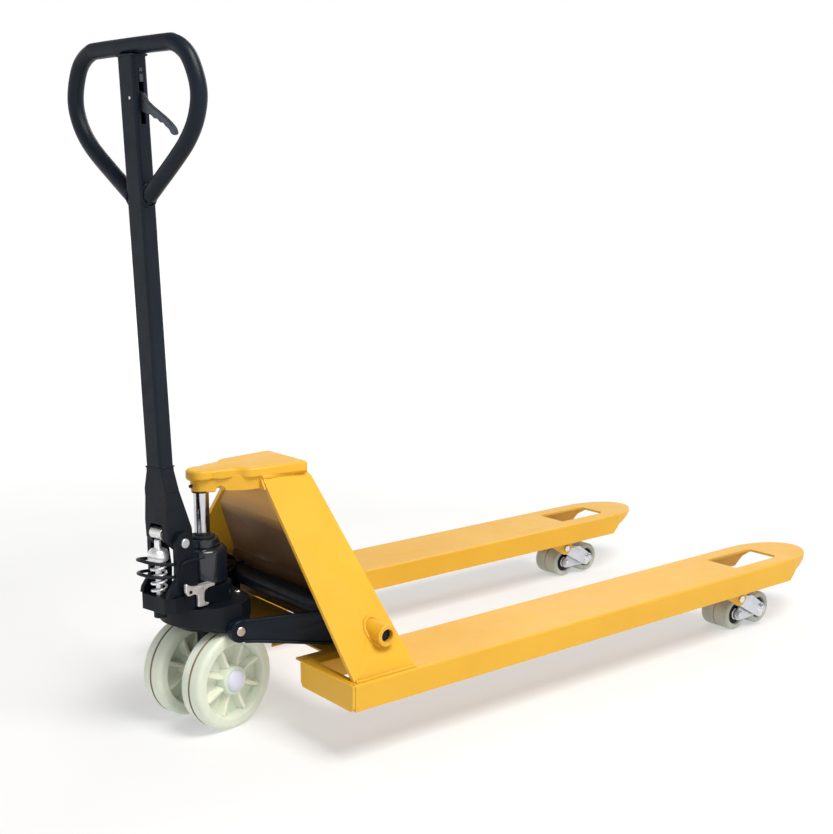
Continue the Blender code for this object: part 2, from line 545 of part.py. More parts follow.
turned("cam_roller", [(0.0049, 0.0150), (0.0098, 0.0150), (0.0105, 0.0143), (0.0105, -0.0143),
                      (0.0098, -0.0150), (0.0049, -0.0150)], "zinc", ST, CAM, 20, True, 'Y')

TUBE_U, TUBE_V, TW = 0.015, 0.020, 0.0028


def rrect(hu, hv, r, n=3):
    return (arc(hu - r, hv - r, r, 0, 90, n) + arc(-hu + r, hv - r, r, 90, 180, n)
            + arc(-hu + r, -hv + r, r, 180, 270, n) + arc(hu - r, -hv + r, r, 270, 360, n))


htube = put("handle_tube", flat([rrect(TUBE_U, TUBE_V, 0.005), rrect(TUBE_U - TW, TUBE_V - TW, 0.0025)],
                                -0.0040, 0.6818, 'XY'), "black", HA, smooth=35)
boo(htube, tool("trigger_slot", box(-0.0050, 0.0050, -0.030, -0.010, 0.573, 0.640), HA))
boo(htube, tool("trigger_pin_holes", rod((0, -0.006, 0.615), 0.0028, -0.03, 0.03, 'X', 12), HA))

half = [(0.0100, 0.4480), (0.0300, 0.4640), (0.0960, 0.5165), (0.1270, 0.5450), (0.1475, 0.5740),
        (0.1580, 0.6060), (0.1560, 0.6350), (0.1435, 0.6660), (0.1285, 0.6830), (0.1070, 0.6940), (0.080, 0.6965)]
ctl = [(0, -v, w) for v, w in half] + [(0, v, w) for v, w in half[::-1]]
me = wire(smooth_path(ctl, 2), 0.0142, 2)
loop = put("handle_loop", me, "black", HA, smooth=60)
boo(loop, tool("loop_trim", box(-0.03, 0.03, -0.0204, 0.0204, 0.40, 0.56), HA))

TRIG = Vector((0, -0.006, 0.615))
trig = flat([[(0.006, 0.624), (-0.020, 0.626), (-0.034, 0.608), (-0.060, 0.591), (-0.088, 0.572),
              (-0.1005, 0.5600), (-0.1005, 0.5540), (-0.0930, 0.5530), (-0.0800, 0.5655), (-0.0660, 0.5750),
              (-0.0500, 0.5810), (-0.0380, 0.5880), (-0.0220, 0.5920), (0.004, 0.604)]], -0.0042, 0.0042, 'YZ')
tob = put("release_trigger", trig, "zinc", HA, TRIG, smooth=30)
boo(tob, tool("trigger_bore", rod((0, -0.006, 0.615), 0.0028, -0.03, 0.03, 'X', 12), HA))
put("trigger_pin", rod((0, -0.006, 0.615), 0.0025, -0.0149, 0.0149, 'X', 12), "zinc", HA, TRIG, smooth=40)

put("pull_rod", rod((0.0, 0.0, 0), 0.0028, -0.112, 0.590, 'Z', 8), "zinc", HA, smooth=60)

# release lever at the foot of the pump
LEV = Vector((-0.078, -0.0505, 0.126))
lev = flat([[(-0.104, 0.158), (-0.098, 0.159), (-0.078, 0.1345), (-0.050, 0.1300), (-0.021, 0.1300),
             (-0.021, 0.1240), (-0.040, 0.1215), (-0.046, 0.1180), (-0.046, 0.1010), (-0.035, 0.0985),
             (-0.037, 0.0950), (-0.061, 0.0960), (-0.059, 0.1180), (-0.082, 0.1185), (-0.088, 0.1270)]],
           -0.0535, -0.0475, 'XZ')
lob = put("release_lever", lev, "zinc", ST, LEV, smooth=30)
boo(lob, tool("lever_bore", rod((LEV.x, 0, LEV.z), 0.0033, -0.06, -0.045, 'Y', 12), ST))
boo(base, tool("lever_stud", rod((LEV.x, 0, LEV.z), 0.0030, -0.0555, -0.0360, 'Y', 12), ST), 'UNION')
boo(base, tool("lever_stud_root", box(-0.084, -0.072, -0.0470, -0.0310, 0.105, 0.131), ST), 'UNION')

# ---- load wheels ------------------------------------------------------------
for side, s in SIDES:
    yc = s * FORK_Y
    up = (LUG.x, BAR_Z)
    out = capsule((LUG.x, LUG.z), (BOGIE.x, BOGIE.z), 0.0125, 0.0105, 8)
    ob = None
    for k, t in (("a", -1), ("b", 1)):
        ya, yb = sorted((yc + t * 0.0490, yc + t * 0.0540))
        plate = flat([out], ya, yb, 'XZ')
        arm2 = flat([capsule((LUG.x, LUG.z), up, 0.0115, 0.0085, 8)], ya, yb, 'XZ')
        if ob is None:
            ob = put("wheel_bracket_" + side, plate, "zinc", CH, Vector((LUG.x, yc, LUG.z)), smooth=35)
        else:
            boo(ob, tool("bracket_plate_%s_%s" % (side, k), plate), 'UNION')
        boo(ob, tool("bracket_arm_%s_%s" % (side, k), arm2), 'UNION')
    boo(ob, tool("bracket_bar_" + side, rod((LUG.x, 0, BAR_Z), 0.0050, yc - 0.0515, yc + 0.0515, 'Y', 12)), 'UNION')
    for k, t in (("a", -1), ("b", 1)):
        ya, yb = sorted((yc + t * 0.0362, yc + t * 0.0510))
        boo(ob, tool("bogie_stub_%s_%s" % (side, k), rod((BOGIE.x, 0, BOGIE.z), 0.0058, ya, yb, 'Y', 12)), 'UNION')
    boo(ob, tool("bracket_bore_" + side, rod((LUG.x, 0, LUG.z), 0.0063, yc - 0.08, yc + 0.08, 'Y', 12)))

    og = None
    xm = (ROLLER_X[0] + ROLLER_X[1]) / 2
    side_out = (arc(ROLLER_X[0], ROLLER_Z, 0.0125, 100, 270, 7)
                + arc(ROLLER_X[1], ROLLER_Z, 0.0125, -90, 80, 7)
                + [(xm + 0.010, -0.0745), (xm - 0.010, -0.0745)])
    for k, t in (("a", -1), ("b", 1)):
        ya, yb = sorted((yc + t * 0.0363, yc + t * 0.0413))
        plate = flat([side_out], ya, yb, 'XZ')
        if og is None:
            og = put("bogie_" + side, plate, "zinc", CH, Vector((BOGIE.x, yc, BOGIE.z)), smooth=35)
        else:
            boo(og, tool("bogie_plate_%s" % side, plate), 'UNION')
    boo(og, tool("bogie_bar_" + side, rod((xm, 0, -0.0800), 0.0045, yc - 0.038, yc + 0.038, 'Y', 12)), 'UNION')
    boo(og, tool("bogie_bore_" + side, rod((BOGIE.x, 0, BOGIE.z), 0.0062, yc - 0.08, yc + 0.08, 'Y', 12)))
    for name, x in (("rear", ROLLER_X[0]), ("front", ROLLER_X[1])):
        boo(og, tool("bogie_axle_%s_%s" % (side, name), rod((x, 0, ROLLER_Z), 0.0063, yc - 0.08, yc + 0.08, 'Y', 12)))
        c = Vector((x, yc, ROLLER_Z))
        turned("load_roller_%s_%s" % (side, name),
               [(0.0063, 0.0345), (0.0330, 0.0345), (ROLLER_R, 0.0325), (ROLLER_R, -0.0325), (0.0330, -0.0345),
                (0.0063, -0.0345)], "nylon", CH, c, 20, True, 'Y')
        turned("roller_bolt_%s_%s" % (side, name),
               [(0.0, 0.0485), (0.0070, 0.0485), (0.0085, 0.0470), (0.0085, 0.0418), (0.0060, 0.0418),
                (0.0060, -0.0418), (0.0085, -0.0418), (0.0085, -0.0470), (0.0070, -0.0485), (0.0, -0.0485)],
               "zinc", CH, c, 14, False, 'Y')
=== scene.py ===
import bpy
import bmesh
import math
import random
from mathutils import Matrix, Vector, noise


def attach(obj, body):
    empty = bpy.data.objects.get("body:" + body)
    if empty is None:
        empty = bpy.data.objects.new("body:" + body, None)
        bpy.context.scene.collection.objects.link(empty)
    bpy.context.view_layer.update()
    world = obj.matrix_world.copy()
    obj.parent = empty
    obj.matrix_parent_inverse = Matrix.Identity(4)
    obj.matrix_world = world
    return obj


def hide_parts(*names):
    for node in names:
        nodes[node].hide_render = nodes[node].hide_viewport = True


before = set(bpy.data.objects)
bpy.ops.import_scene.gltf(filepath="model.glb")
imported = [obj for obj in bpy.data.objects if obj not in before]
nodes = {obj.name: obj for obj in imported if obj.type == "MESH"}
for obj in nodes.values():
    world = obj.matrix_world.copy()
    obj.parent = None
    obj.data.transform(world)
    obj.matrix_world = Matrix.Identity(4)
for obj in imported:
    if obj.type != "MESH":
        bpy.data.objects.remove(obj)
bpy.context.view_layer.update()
rnd = random.Random(7)

SX, G, KX = -0.53995, 0.144, -0.083
STEER = math.radians(12)
CH = Matrix.Translation((SX, 0, G))
TH = CH @ Matrix.Translation((KX, 0, 0))
ST = TH @ Matrix.Rotation(STEER, 4, 'Z')
HA = ST @ Matrix.Translation((-0.091, 0, 0.35)) @ Matrix.Rotation(-math.atan(0.035), 4, 'Y')
YTURN = Matrix.Rotation(-math.pi / 2, 4, 'X')


# ---------------------------------------------------------------- materials
class Mat:
    """A Principled material with procedural colour, roughness and relief."""

    def __init__(self, name):
        self.m = bpy.data.materials.new(name)
        self.m.use_nodes = True
        self.t = self.m.node_tree
        self.b = self.t.nodes["Principled BSDF"]
        self.co = self.t.nodes.new("ShaderNodeTexCoord").outputs["Object"]
        self.bump = None

    def n(self, kind, **kw):
        nd = self.t.nodes.new(kind)
        for k, v in kw.items():
            setattr(nd, k, v)
        return nd

    def link(self, a, b):
        self.t.links.new(a, b)

    def noise(self, scale, detail=3, rough=0.5, stretch=None):
        nd = self.n("ShaderNodeTexNoise")
        nd.inputs["Scale"].default_value = scale
        nd.inputs["Detail"].default_value = detail
        nd.inputs["Roughness"].default_value = rough
        src = self.co
        if stretch:
            mp = self.n("ShaderNodeMapping")
            mp.inputs["Scale"].default_value = stretch
            self.link(self.co, mp.inputs["Vector"])
            src = mp.outputs["Vector"]
        self.link(src, nd.inputs["Vector"])
        return nd.outputs["Fac"]

    def ramp(self, src, lo, hi, a=0.0, b=1.0):
        nd = self.n("ShaderNodeMapRange")
        nd.clamp = True
        nd.inputs["From Min"].default_value = lo
        nd.inputs["From Max"].default_value = hi
        nd.inputs["To Min"].default_value = a
        nd.inputs["To Max"].default_value = b
        self.link(src, nd.inputs["Value"])
        return nd.outputs["Result"]

    def mix(self, fac, a, b):
        nd = self.n("ShaderNodeMix", data_type='RGBA')
        for s, v in ((nd.inputs[6], a), (nd.inputs[7], b)):
            if isinstance(v, tuple):
                s.default_value = (*v, 1)
            else:
                self.link(v, s)
        if isinstance(fac, float):
            nd.inputs[0].default_value = fac
        else:
            self.link(fac, nd.inputs[0])
        return nd.outputs[2]

    def math(self, op, a, b):
        nd = self.n("ShaderNodeMath", operation=op)
        for s, v in ((nd.inputs[0], a), (nd.inputs[1], b)):
            if isinstance(v, (int, float)):
                s.default_value = v
            else:
                self.link(v, s)
        return nd.outputs[0]

    def edge(self, radius=0.0015, lo=0.02, hi=0.25):
        """1 on convex and concave edges, 0 on flats."""
        bv = self.n("ShaderNodeBevel", samples=4)
        bv.inputs["Radius"].default_value = radius
        ge = self.n("ShaderNodeNewGeometry")
        dt = self.n("ShaderNodeVectorMath", operation='DOT_PRODUCT')
        self.link(bv.outputs[0], dt.inputs[0])
        self.link(ge.outputs["Normal"], dt.inputs[1])
        inv = self.math('SUBTRACT', 1.0, dt.outputs["Value"])
        return self.ramp(inv, lo, hi)

    def relief(self, src, strength, dist=0.0005):
        nd = self.n("ShaderNodeBump")
        nd.inputs["Strength"].default_value = strength
        nd.inputs["Distance"].default_value = dist
        self.link(src, nd.inputs["Height"])
        if self.bump:
            self.link(self.bump, nd.inputs["Normal"])
        self.bump = nd.outputs["Normal"]
        self.link(self.bump, self.b.inputs["Normal"])

    def set(self, **kw):
        for k, v in kw.items():
            s = self.b.inputs[k.replace("_", " ")]
            if isinstance(v, (int, float)):
                s.default_value = v
            elif isinstance(v, tuple):
                s.default_value = (*v, 1)
            else:
                self.link(v, s)
        return self


def paint(name, base, deep, pale, coat=0.12, rough=0.36, painted_shade=None):
    m = Mat(name)
    big = m.ramp(m.noise(6, 4), 0.3, 0.7)
    col = m.mix(big, base, deep)
    fine = m.ramp(m.noise(140, 4, 0.7), 0.62, 0.72)
    col = m.mix(m.math('MULTIPLY', fine, 0.10), col, deep)
    if painted_shade:
        # painted shade: world height ramps the colour to dark brown lower down
        ge = m.n("ShaderNodeNewGeometry")
        sp = m.n("ShaderNodeSeparateXYZ")
        m.link(ge.outputs["Position"], sp.inputs[0])
        zz = m.math('ADD', sp.outputs["Z"], m.math('MULTIPLY', m.noise(9, 4), 0.02))
        col = m.mix(m.ramp(zz, painted_shade[0], painted_shade[1]), painted_shade[2], col)
        # painted light: faces turned forward towards the forks get the lit yellow, the rest keeps the painted shade
        nn = m.n("ShaderNodeSeparateXYZ")
        m.link(ge.outputs["Normal"], nn.inputs[0])
        col = m.mix(m.ramp(nn.outputs["X"], -0.05, 0.05), col, (0.70, 0.375, 0.023))
    edge = m.edge(0.0016, 0.03, 0.30)
    nick = m.ramp(m.noise(220, 5, 0.7), 0.50, 0.62)
    # painted highlight: edges mixed halfway to the pale tone, partly edge wear; the dark chips on the next lines are
    # wear
    col = m.mix(m.math('MULTIPLY', edge, 0.50), col, pale)
    chips = m.math('MULTIPLY', m.math('MULTIPLY', edge, nick), 0.22)
    col = m.mix(chips, col, (0.30, 0.17, 0.07))
    scr = m.ramp(m.noise(34, 3, 0.6, (1.0, 30.0, 9.0)), 0.70, 0.76)
    col = m.mix(m.math('MULTIPLY', scr, 0.12), col, pale)
    m.set(Base_Color=col, Coat_Weight=coat, Coat_Roughness=0.20, Specular_IOR_Level=0.30,
          Roughness=m.ramp(m.noise(18, 5, 0.65), 0.3, 0.7, rough - 0.06, rough + 0.12))
    m.relief(m.noise(420, 2, 0.4), 0.10, 0.0004)
    m.relief(m.noise(42, 3, 0.5), 0.10, 0.0010)
    return m.m


def black(name, cast=0.0, base=(0.0028, 0.0060, 0.0115), pale=(0.020, 0.030, 0.045), rough=0.38, spec=0.17, coat=0.03):
    m = Mat(name)
    big = m.ramp(m.noise(16, 4), 0.3, 0.75)
    col = m.mix(big, base, tuple(c * 1.5 for c in base))
    edge = m.edge(0.0012, 0.03, 0.35)
    wear = m.ramp(m.noise(160, 5, 0.7), 0.45, 0.65)
    # painted highlight: edges lightened towards the pale tone; the grey flecks on the next line are edge wear
    col = m.mix(m.math('MULTIPLY', edge, 0.40), col, pale)
    col = m.mix(m.math('MULTIPLY', m.math('MULTIPLY', edge, wear), 0.22), col, (0.12, 0.12, 0.12))
    dust = m.ramp(m.noise(55, 5, 0.7), 0.60, 0.80)
    col = m.mix(m.math('MULTIPLY', dust, 0.06), col, (0.09, 0.085, 0.075))
    m.set(Base_Color=col, Coat_Weight=coat, Coat_Roughness=0.18, Specular_IOR_Level=spec,
          Roughness=m.ramp(m.noise(40, 5, 0.65), 0.3, 0.7, rough - 0.06, rough + 0.16))
    if cast:
        m.relief(m.noise(260, 4, 0.65), cast, 0.0009)
        m.relief(m.noise(50, 3, 0.5), cast * 0.5, 0.0016)
    else:
        m.relief(m.noise(420, 2, 0.4), 0.09, 0.0004)
    return m.m


def metal(name, col=(0.56, 0.57, 0.58), dark=(0.26, 0.26, 0.27), rough=0.32, brush=None, metallic=1.0):
    m = Mat(name)
    big = m.ramp(m.noise(45, 5, 0.65), 0.35, 0.70)
    c = m.mix(m.math('MULTIPLY', big, 0.45), col, dark)
    spots = m.ramp(m.noise(190, 5, 0.7), 0.60, 0.74)
    c = m.mix(m.math('MULTIPLY', spots, 0.25), c, (0.20, 0.17, 0.13))
    edge = m.edge(0.0008, 0.03, 0.35)
    # painted glint: edges mixed halfway to near-white
    c = m.mix(m.math('MULTIPLY', edge, 0.5), c, (0.90, 0.90, 0.91))
    m.set(Base_Color=c, Metallic=metallic,
          Roughness=m.ramp(m.noise(70, 5, 0.7), 0.3, 0.7, rough - 0.10, rough + 0.14))
    m.relief(m.noise(300, 3, 0.6, brush), 0.12, 0.0004)
    return m.m


def nylon(name, base=(0.74, 0.78, 0.68), deep=(0.66, 0.70, 0.57), dirt=0.08):
    m = Mat(name)
    big = m.ramp(m.noise(22, 4), 0.3, 0.7)
    c = m.mix(big, base, deep)
    smear = m.ramp(m.noise(75, 5, 0.7), 0.58, 0.78)
    c = m.mix(m.math('MULTIPLY', smear, dirt), c, (0.34, 0.27, 0.17))
    edge = m.edge(0.0012, 0.03, 0.35)
    # painted highlight: edges lightened towards near-white
    c = m.mix(m.math('MULTIPLY', edge, 0.35), c, (0.90, 0.92, 0.86))
    m.set(Base_Color=c, Subsurface_Weight=0.12, Subsurface_Scale=0.01, Specular_IOR_Level=0.4,
          Roughness=m.ramp(m.noise(60, 5, 0.6), 0.3, 0.7, 0.34, 0.52))
    m.relief(m.noise(260, 3, 0.5), 0.10, 0.0005)
    return m.m


YEL = paint("paint_yellow", (0.72, 0.392, 0.024), (0.68, 0.355, 0.020), (0.92, 0.62, 0.17), 0.05)
# painted shade: darker copy of the yellow for the front cover, darkening to brown lower down, with its forward-facing
# side lit
YEL_IN = paint("paint_yellow_shaded", (0.62, 0.32, 0.060), (0.55, 0.27, 0.045), (0.62, 0.36, 0.10), 0.05, 0.45,
               (0.36, 0.415, (0.10, 0.050, 0.020)))
# painted shade: darker copy of the yellow for the floor plate under the frame
YEL_FLOOR_SHADED = paint("paint_yellow_floor_shaded", (0.52, 0.30, 0.040), (0.45, 0.25, 0.035), (0.60, 0.40, 0.12), 0.05, 0.45)
BLK = black("paint_black")
CAST = black("cast_black", 0.30, (0.0030, 0.0050, 0.0085), (0.018, 0.025, 0.036), 0.42)
PUMP = black("pump_enamel", 0.05, (0.0050, 0.0085, 0.0140), (0.035, 0.045, 0.060), 0.16, 0.5, 0.25)
GUARD = black("wire_black", 0.0, (0.006, 0.008, 0.011), (0.03, 0.034, 0.042), 0.32)
CHROME = metal("hard_chrome", (0.62, 0.63, 0.67), (0.45, 0.46, 0.50), 0.13, (1, 1, 14))
ZINC = metal("zinc_plate", (0.66, 0.68, 0.73), (0.42, 0.44, 0.49), 0.36, None, 0.85)
STEEL = metal("bare_steel", (0.78, 0.77, 0.76), (0.50, 0.49, 0.48), 0.28, None, 0.9)
BRIGHT = metal("bright_zinc", (0.88, 0.88, 0.90), (0.62, 0.62, 0.64), 0.34, None, 0.75)
LEVERM = metal("trigger_steel", (0.09, 0.10, 0.12), (0.045, 0.05, 0.06), 0.40)
NYL = nylon("nylon_wheel", (0.70, 0.75, 0.65), (0.62, 0.67, 0.54))
# painted light: paler copy of the wheel nylon for the ribs, which stand out lit against the pockets
NYL_RIB_LIT = nylon("nylon_rib_lit", (0.75, 0.78, 0.66), (0.68, 0.71, 0.56), 0.10)
# painted shade: darker copy of the wheel nylon for the load rollers under the forks
NYR_SHADED = nylon("nylon_roller_shaded", (0.48, 0.50, 0.43), (0.36, 0.38, 0.32), 0.22)
CAPM = nylon("hub_cap_plastic", (0.66, 0.68, 0.78), (0.60, 0.62, 0.73), 0.03)
RUB = black("seal_rubber", 0.0, (0.010, 0.010, 0.011), (0.03, 0.03, 0.03), 0.6)
# dark brown on the faces of the tread's parting groove
GROOVE_BROWN = nylon("tread_groove_brown", (0.13, 0.075, 0.035), (0.28, 0.20, 0.12), 0.5)


# ------------------------------------------------------------------ builders
def piece(name, me, mat, body, M=CH, smooth=35, bev=0.0, segs=2, swap=(), mats=None):
    ob = bpy.data.objects.new(name, me)
    bpy.context.scene.collection.objects.link(ob)
    ob.matrix_world = M
    for i, mm in enumerate(mats or [mat]):
        if i < len(me.materials):
            me.materials[i] = mm
        else:
            me.materials.append(mm)
    if smooth:
        me.shade_smooth()
        me.set_sharp_from_angle(angle=math.radians(smooth))
    if bev:
        b = ob.modifiers.new("bevel", 'BEVEL')
        b.width = bev
        b.segments = segs
        b.limit_method = 'ANGLE'
        b.angle_limit = math.radians(32)
        b.harden_normals = True
    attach(ob, body)
    if swap:
        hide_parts(*swap)
    return ob


def lathe(profile, seg=64, axis='Z', mids=None):
    """Closed turned solid; profile (r, h) goes down the outside; mids gives each band's material."""
    me = bpy.data.meshes.new("turned")
    bm = bmesh.new()
    rings = []
    for r, h in profile:
        if r < 1e-6:
            rings.append([bm.verts.new((0, 0, h))])
        else:
            rings.append([bm.verts.new((r * math.cos(2 * math.pi * i / seg), r * math.sin(2 * math.pi * i / seg), h))
                          for i in range(seg)])
    pairs = list(zip(range(len(rings) - 1), range(1, len(rings))))
    if profile[0][0] > 1e-6 and profile[-1][0] > 1e-6:
        pairs.append((len(rings) - 1, 0))
    for a, b in pairs:
        A, B = rings[a], rings[b]
        for i in range(seg):
            j = (i + 1) % seg
            vs = []
            for v in (A[i % len(A)], B[i % len(B)], B[j % len(B)], A[j % len(A)]):
                if v not in vs:
                    vs.append(v)
            if len(vs) > 2:
                f = bm.faces.new(vs)
                if mids:
                    f.material_index = mids[a]
    bmesh.ops.recalc_face_normals(bm, faces=bm.faces)
    bm.to_mesh(me)
    bm.free()
    if axis == 'Y':
        me.transform(YTURN)
    return me


def prism(outline, a, b, plane='XZ'):
    me = bpy.data.meshes.new("prism")
    bm = bmesh.new()

    def pos(u, v, w):
        return (u, w, v) if plane == 'XZ' else ((u, v, w) if plane == 'XY' else (w, u, v))
    lo = [bm.verts.new(pos(u, v, a)) for u, v in outline]
    hi = [bm.verts.new(pos(u, v, b)) for u, v in outline]
    bm.faces.new(lo)
    bm.faces.new(hi)
    for i in range(len(lo)):
        j = (i + 1) % len(lo)
        bm.faces.new((lo[i], lo[j], hi[j], hi[i]))
    bmesh.ops.recalc_face_normals(bm, faces=bm.faces)
    bm.to_mesh(me)
    bm.free()
    return me


def arc(cx, cy, r, a0, a1, n):
    return [(cx + r * math.cos(math.radians(a0 + (a1 - a0) * i / n)),
             cy + r * math.sin(math.radians(a0 + (a1 - a0) * i / n))) for i in range(n + 1)]


def spline(pts, n=8, closed=False):
    pts = [Vector(p) for p in pts]
    m = len(pts)
    out = []
    rng = range(m) if closed else range(m - 1)
    for i in rng:
        if closed:
            p0, p1, p2, p3 = pts[i - 1], pts[i], pts[(i + 1) % m], pts[(i + 2) % m]
        else:
            p0, p1, p2, p3 = pts[max(i - 1, 0)], pts[i], pts[i + 1], pts[min(i + 2, m - 1)]
        for k in range(n):
            t = k / n
            out.append(0.5 * ((2 * p1) + (p2 - p0) * t + (2 * p0 - 5 * p1 + 4 * p2 - p3) * t * t
                              + (3 * p1 - p0 - 3 * p2 + p3) * t ** 3))
    if not closed:
        out.append(pts[-1])
    return out


def sweep(path, radius, sides=16, closed=False, flat=1.0):
    """Round bar along a path; radius is a number or a function of the index."""
    path = [Vector(p) for p in path]
    me = bpy.data.meshes.new("sweep")
    bm = bmesh.new()
    n = len(path)
    up = None
    rings = []
    for i, p in enumerate(path):
        a = path[i - 1] if (i or closed) else path[0]
        b = path[(i + 1) % n] if (i < n - 1 or closed) else path[-1]
        t = (b - a).normalized()
        if up is None:
            up = t.orthogonal().normalized()
        up = (up - t * up.dot(t)).normalized()
        s = t.cross(up)
        r = radius(i) if callable(radius) else radius
        rings.append([bm.verts.new(p + up * math.cos(2 * math.pi * k / sides) * r
                                   + s * math.sin(2 * math.pi * k / sides) * r * flat) for k in range(sides)])
    for i in range(n if closed else n - 1):
        A, B = rings[i], rings[(i + 1) % n]
        for k in range(sides):
            j = (k + 1) % sides
            bm.faces.new((A[k], A[j], B[j], B[k]))
    if not closed:
        bm.faces.new(rings[0])
        bm.faces.new(rings[-1])
    bmesh.ops.recalc_face_normals(bm, faces=bm.faces)
    bm.to_mesh(me)
    bm.free()
    return me


def weld(name, pts, r, mat, body, M=CH, closed=False):
    """Rippled weld bead along a line of points."""
    pts = [Vector(p) for p in pts]
    if closed:
        pts.append(pts[0])
    path = []
    for a, b in zip(pts, pts[1:]):
        k = max(2, int((b - a).length / 0.0011))
        path += [a.lerp(b, i / k) for i in range(k)]
    path.append(pts[-1])
    if closed:
        path.pop()
    rr = [r * (1 + 0.16 * abs(math.sin(i * 0.85)) + 0.18 * noise.noise(Vector((i * 0.09, r * 900, 3)))) for i in range(len(path))]
    path = [p + Vector([noise.noise(Vector((i * 0.11, k * 7.0, 1.3))) * r * 0.25 for k in range(3)]) for i, p in enumerate(path)]
    return piece(name, sweep(path, lambda i: rr[i], 8, closed), mat, body, M, smooth=180)


def hexnut(r, h0, h1, chamfer=0.0007):
    me = bpy.data.meshes.new("hex")
    bm = bmesh.new()
    rings = []
    for h, k in ((h0, 1 - chamfer / r), (h0 + chamfer, 1), (h1 - chamfer, 1), (h1, 1 - chamfer / r)):
        rings.append([bm.verts.new((r * k * math.cos(math.radians(60 * i)), h, r * k * math.sin(math.radians(60 * i)))) for i in range(6)])
    for A, B in zip(rings, rings[1:]):
        for i in range(6):
            bm.faces.new((A[i], A[(i + 1) % 6], B[(i + 1) % 6], B[i]))
    bm.faces.new(rings[0])
    bm.faces.new(rings[-1])
    bmesh.ops.recalc_face_normals(bm, faces=bm.faces)
    bm.to_mesh(me)
    bm.free()
    return me


def merge(parts):
    bm = bmesh.new()
    for me in parts:
        bm.from_mesh(me)
    out = bpy.data.meshes.new("merged")
    bm.to_mesh(out)
    bm.free()
    return out


def cut(me, other, op='DIFFERENCE'):
    """Exact Boolean of two closed meshes."""
    a = bpy.data.objects.new("solid", me)
    b = bpy.data.objects.new("tool", other)
    for o in (a, b):
        bpy.context.scene.collection.objects.link(o)
    md = a.modifiers.new("bool", 'BOOLEAN')
    md.object = b
    md.operation = op
    md.solver = 'EXACT'
    bpy.context.view_layer.update()
    out = bpy.data.meshes.new_from_object(a.evaluated_get(bpy.context.evaluated_depsgraph_get()))
    bpy.data.objects.remove(a)
    bpy.data.objects.remove(b)
    return out


def shift(me, v):
    me.transform(Matrix.Translation(v))
    return me


def finish_node(name, mat, bev=0.0, segs=2, smooth=32):
    ob = nodes[name]
    ob.data.materials.clear()
    ob.data.materials.append(mat)
    if bev:
        w = ob.modifiers.new("weld", 'WELD')
        w.merge_threshold = 0.00003
        b = ob.modifiers.new("bevel", 'BEVEL')
        b.width = bev
        b.segments = segs
        b.limit_method = 'ANGLE'
        b.angle_limit = math.radians(smooth)
        b.use_clamp_overlap = True
        b.harden_normals = True
    return ob


# --------------------------------------------------------- CAD nodes kept
for side in ("right", "left"):
    finish_node("fork_" + side, YEL)
    finish_node("heel_plate_" + side, YEL, 0.0012)
    finish_node("side_plate_" + side, YEL, 0.0014)
    finish_node("axle_boss_" + side, YEL)
    finish_node("rocker_arm_" + side, BLK, 0.0012)
    finish_node("rocker_lever_" + side, BLK, 0.0008)
    finish_node("push_rod_" + side, BLK)
    finish_node("rocker_pin_" + side, STEEL)
    finish_node("wheel_bracket_" + side, ZINC, 0.0006)
    finish_node("bogie_" + side, ZINC, 0.0006)
    finish_node("thrust_screw_" + side, STEEL)
finish_node("front_cover", YEL_IN, 0.0006)
finish_node("floor_plate", YEL_FLOOR_SHADED, 0.0006)
finish_node("bridge_set_screw", BLK)
finish_node("torsion_tube", BLK)
finish_node("pump_base", CAST, 0.0014)
finish_node("steer_axle", STEEL)
finish_node("handle_tube", BLK)
finish_node("handle_pivot_pin", ZINC)
finish_node("cam_pin", ZINC)
finish_node("trigger_pin", ZINC)
finish_node("pull_rod", ZINC)
finish_node("cam_roller", STEEL)
finish_node("gland_ring", BLK)

